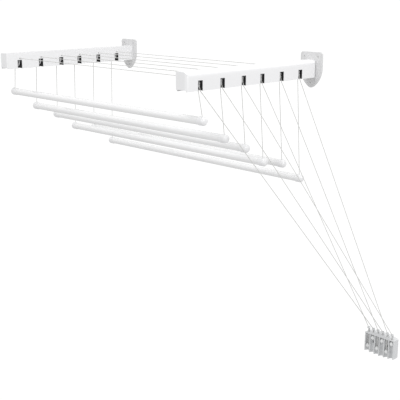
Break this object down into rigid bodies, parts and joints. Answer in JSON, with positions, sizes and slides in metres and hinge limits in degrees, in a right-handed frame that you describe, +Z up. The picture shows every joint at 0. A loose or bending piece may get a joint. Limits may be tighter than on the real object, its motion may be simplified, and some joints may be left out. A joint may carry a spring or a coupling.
{
  "type": "wall-mounted pulley drying rack",
  "caption": "Wall rack with two rails, white rods hung between them on cords over small wheels, and a wall cleat whose knobs raise each rod on its own.",
  "frame": {"origin": "on the wall, midway between the lower screw holes of the two wall plates", "axes": "+X along the wall to the right when facing it, +Y into the wall, +Z up"},
  "size_m": [1.329, 0.571, 0.932],
  "materials": {
    "white_plastic": "satin moulded plastic",
    "black_plastic": "matt moulded plastic",
    "steel": "zinc plated",
    "wheel_plastic": "smooth nylon",
    "rod_enamel": "gloss enamel",
    "cap_plastic": "gloss moulded plastic",
    "cord": "braided cord",
    "knob_plastic": "gloss moulded plastic",
    "cleat_plastic": "satin moulded plastic",
    "clear_plastic": "translucent moulded plastic"
  },
  "bodies": {
    "root": {"left_rail": "white_plastic", "right_rail": "white_plastic", "left_wall_plate": "white_plastic", "right_wall_plate": "white_plastic", "lock_screws": "steel", "left_carriers": "black_plastic", "right_carriers": "black_plastic", "left_axles": "steel", "right_axles": "steel", "guide_pins": "steel", "drop_cords_1": "cord", "drop_cords_2": "cord", "drop_cords_3": "cord", "drop_cords_4": "cord", "drop_cords_5": "cord", "drop_cords_6": "cord", "cross_cords": "cord", "pull_cords": "cord", "pull_tail_1": "cord", "pull_tail_2": "cord", "pull_tail_3": "cord", "pull_tail_4": "cord", "pull_tail_5": "cord", "pull_tail_6": "cord", "cleat_back_plate": "cleat_plastic", "cleat_cover": "clear_plastic"},
    "rod_1": {"rod_1": "rod_enamel", "rod_1_caps": "cap_plastic"},
    "rod_2": {"rod_2": "rod_enamel", "rod_2_caps": "cap_plastic"},
    "rod_3": {"rod_3": "rod_enamel", "rod_3_caps": "cap_plastic"},
    "rod_4": {"rod_4": "rod_enamel", "rod_4_caps": "cap_plastic"},
    "rod_5": {"rod_5": "rod_enamel", "rod_5_caps": "cap_plastic"},
    "rod_6": {"rod_6": "rod_enamel", "rod_6_caps": "cap_plastic"},
    "left_wheel_1": {"left_wheel_1": "wheel_plastic"},
    "left_wheel_2": {"left_wheel_2": "wheel_plastic"},
    "left_wheel_3": {"left_wheel_3": "wheel_plastic"},
    "left_wheel_4": {"left_wheel_4": "wheel_plastic"},
    "left_wheel_5": {"left_wheel_5": "wheel_plastic"},
    "left_wheel_6": {"left_wheel_6": "wheel_plastic"},
    "right_wheel_1": {"right_wheel_1": "wheel_plastic"},
    "right_wheel_2": {"right_wheel_2": "wheel_plastic"},
    "right_wheel_3": {"right_wheel_3": "wheel_plastic"},
    "right_wheel_4": {"right_wheel_4": "wheel_plastic"},
    "right_wheel_5": {"right_wheel_5": "wheel_plastic"},
    "right_wheel_6": {"right_wheel_6": "wheel_plastic"},
    "pull_1": {"pull_knob_1": "knob_plastic"},
    "pull_2": {"pull_knob_2": "knob_plastic"},
    "pull_3": {"pull_knob_3": "knob_plastic"},
    "pull_4": {"pull_knob_4": "knob_plastic"},
    "pull_5": {"pull_knob_5": "knob_plastic"},
    "pull_6": {"pull_knob_6": "knob_plastic"}
  },
  "joints": [
    {"name": "rod_1_lift", "type": "slide", "parent": "root", "child": "rod_1", "axis": [0, 0, 1], "range_m": [0, 0.055], "deforming": ["drop_cords_1"]},
    {"name": "rod_2_lift", "type": "slide", "parent": "root", "child": "rod_2", "axis": [0, 0, 1], "range_m": [0, 0.11], "deforming": ["drop_cords_2"]},
    {"name": "rod_3_lift", "type": "slide", "parent": "root", "child": "rod_3", "axis": [0, 0, 1], "range_m": [0, 0.15], "deforming": ["drop_cords_3"]},
    {"name": "rod_4_lift", "type": "slide", "parent": "root", "child": "rod_4", "axis": [0, 0, 1], "range_m": [0, 0.19], "deforming": ["drop_cords_4"]},
    {"name": "rod_5_lift", "type": "slide", "parent": "root", "child": "rod_5", "axis": [0, 0, 1], "range_m": [0, 0.18], "deforming": ["drop_cords_5"]},
    {"name": "rod_6_lift", "type": "slide", "parent": "root", "child": "rod_6", "axis": [0, 0, 1], "range_m": [0, 0.235], "deforming": ["drop_cords_6"]},
    {"name": "left_wheel_1_turn", "type": "hinge", "parent": "root", "child": "left_wheel_1", "pos_m": [-0.455, -0.518, 0.039], "axis": [0, 1, 0], "range_deg": [0, 242.5]},
    {"name": "right_wheel_1_turn", "type": "hinge", "parent": "root", "child": "right_wheel_1", "pos_m": [0.455, -0.518, 0.039], "axis": [0, 1, 0], "range_deg": [0, 242.5]},
    {"name": "left_wheel_2_turn", "type": "hinge", "parent": "root", "child": "left_wheel_2", "pos_m": [-0.455, -0.43, 0.039], "axis": [0, 1, 0], "range_deg": [0, 484.9]},
    {"name": "right_wheel_2_turn", "type": "hinge", "parent": "root", "child": "right_wheel_2", "pos_m": [0.455, -0.43, 0.039], "axis": [0, 1, 0], "range_deg": [0, 484.9]},
    {"name": "left_wheel_3_turn", "type": "hinge", "parent": "root", "child": "left_wheel_3", "pos_m": [-0.455, -0.342, 0.039], "axis": [0, 1, 0], "range_deg": [0, 661.2]},
    {"name": "right_wheel_3_turn", "type": "hinge", "parent": "root", "child": "right_wheel_3", "pos_m": [0.455, -0.342, 0.039], "axis": [0, 1, 0], "range_deg": [0, 661.2]},
    {"name": "left_wheel_4_turn", "type": "hinge", "parent": "root", "child": "left_wheel_4", "pos_m": [-0.455, -0.261, 0.039], "axis": [0, 1, 0], "range_deg": [0, 837.4]},
    {"name": "right_wheel_4_turn", "type": "hinge", "parent": "root", "child": "right_wheel_4", "pos_m": [0.455, -0.261, 0.039], "axis": [0, 1, 0], "range_deg": [0, 837.4]},
    {"name": "left_wheel_5_turn", "type": "hinge", "parent": "root", "child": "left_wheel_5", "pos_m": [-0.455, -0.173, 0.039], "axis": [0, 1, 0], "range_deg": [0, 793.4]},
    {"name": "right_wheel_5_turn", "type": "hinge", "parent": "root", "child": "right_wheel_5", "pos_m": [0.455, -0.173, 0.039], "axis": [0, 1, 0], "range_deg": [0, 793.4]},
    {"name": "left_wheel_6_turn", "type": "hinge", "parent": "root", "child": "left_wheel_6", "pos_m": [-0.455, -0.085, 0.039], "axis": [0, 1, 0], "range_deg": [0, 1035.8]},
    {"name": "right_wheel_6_turn", "type": "hinge", "parent": "root", "child": "right_wheel_6", "pos_m": [0.455, -0.085, 0.039], "axis": [0, 1, 0], "range_deg": [0, 1035.8]},
    {"name": "pull_1_draw", "type": "slide", "parent": "root", "child": "pull_1", "axis": [0, 0, -1], "range_m": [0, 0.055], "deforming": ["pull_tail_1"]},
    {"name": "pull_2_draw", "type": "slide", "parent": "root", "child": "pull_2", "axis": [0, 0, -1], "range_m": [0, 0.11], "deforming": ["pull_tail_2"]},
    {"name": "pull_3_draw", "type": "slide", "parent": "root", "child": "pull_3", "axis": [0, 0, -1], "range_m": [0, 0.15], "deforming": ["pull_tail_3"]},
    {"name": "pull_4_draw", "type": "slide", "parent": "root", "child": "pull_4", "axis": [0, 0, -1], "range_m": [0, 0.19], "deforming": ["pull_tail_4"]},
    {"name": "pull_5_draw", "type": "slide", "parent": "root", "child": "pull_5", "axis": [0, 0, -1], "range_m": [0, 0.18], "deforming": ["pull_tail_5"]},
    {"name": "pull_6_draw", "type": "slide", "parent": "root", "child": "pull_6", "axis": [0, 0, -1], "range_m": [0, 0.235], "deforming": ["pull_tail_6"]}
  ],
  "couplings": [
    {"joint": "left_wheel_1_turn", "follows": "rod_1_lift", "rad_per_m": 76.923},
    {"joint": "right_wheel_1_turn", "follows": "rod_1_lift", "rad_per_m": 76.923},
    {"joint": "left_wheel_2_turn", "follows": "rod_2_lift", "rad_per_m": 76.923},
    {"joint": "right_wheel_2_turn", "follows": "rod_2_lift", "rad_per_m": 76.923},
    {"joint": "left_wheel_3_turn", "follows": "rod_3_lift", "rad_per_m": 76.923},
    {"joint": "right_wheel_3_turn", "follows": "rod_3_lift", "rad_per_m": 76.923},
    {"joint": "left_wheel_4_turn", "follows": "rod_4_lift", "rad_per_m": 76.923},
    {"joint": "right_wheel_4_turn", "follows": "rod_4_lift", "rad_per_m": 76.923},
    {"joint": "left_wheel_5_turn", "follows": "rod_5_lift", "rad_per_m": 76.923},
    {"joint": "right_wheel_5_turn", "follows": "rod_5_lift", "rad_per_m": 76.923},
    {"joint": "left_wheel_6_turn", "follows": "rod_6_lift", "rad_per_m": 76.923},
    {"joint": "right_wheel_6_turn", "follows": "rod_6_lift", "rad_per_m": 76.923},
    {"joint": "pull_1_draw", "follows": "rod_1_lift", "ratio": 1},
    {"joint": "pull_2_draw", "follows": "rod_2_lift", "ratio": 1},
    {"joint": "pull_3_draw", "follows": "rod_3_lift", "ratio": 1},
    {"joint": "pull_4_draw", "follows": "rod_4_lift", "ratio": 1},
    {"joint": "pull_5_draw", "follows": "rod_5_lift", "ratio": 1},
    {"joint": "pull_6_draw", "follows": "rod_6_lift", "ratio": 1}
  ]
}
